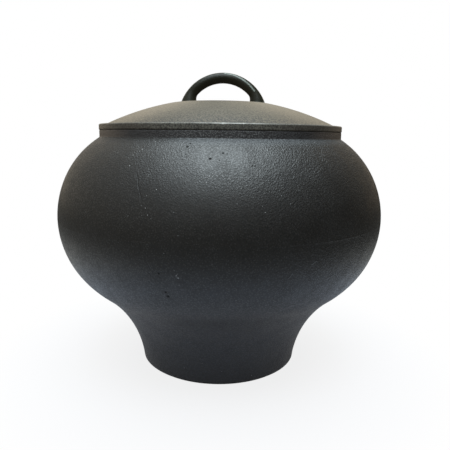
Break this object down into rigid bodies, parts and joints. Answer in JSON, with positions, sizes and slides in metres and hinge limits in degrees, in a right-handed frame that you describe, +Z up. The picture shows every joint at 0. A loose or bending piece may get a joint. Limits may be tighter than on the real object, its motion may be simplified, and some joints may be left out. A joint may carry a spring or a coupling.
{
  "type": "cast iron cooking pot with lid",
  "caption": "Bellied cast iron pot on a narrow waisted foot, with a domed lid that lifts off by a cast loop handle; for slow cooking in an oven or on a stove.",
  "frame": {"origin": "centre of the base, on the surface that the pot stands on", "axes": "+Z up along the pot's axis, +X along the lid's loop handle, +Y to the back"},
  "size_m": [0.3106, 0.3106, 0.2829],
  "materials": {
    "pot_iron": "fine-grained black cast iron, oiled to a satin sheen",
    "lid_iron": "fine-grained cast iron, dry and matt on top, worn smooth on the handle"
  },
  "bodies": {
    "root": {"pot": "pot_iron", "lid": "lid_iron"}
  },
  "joints": []
}
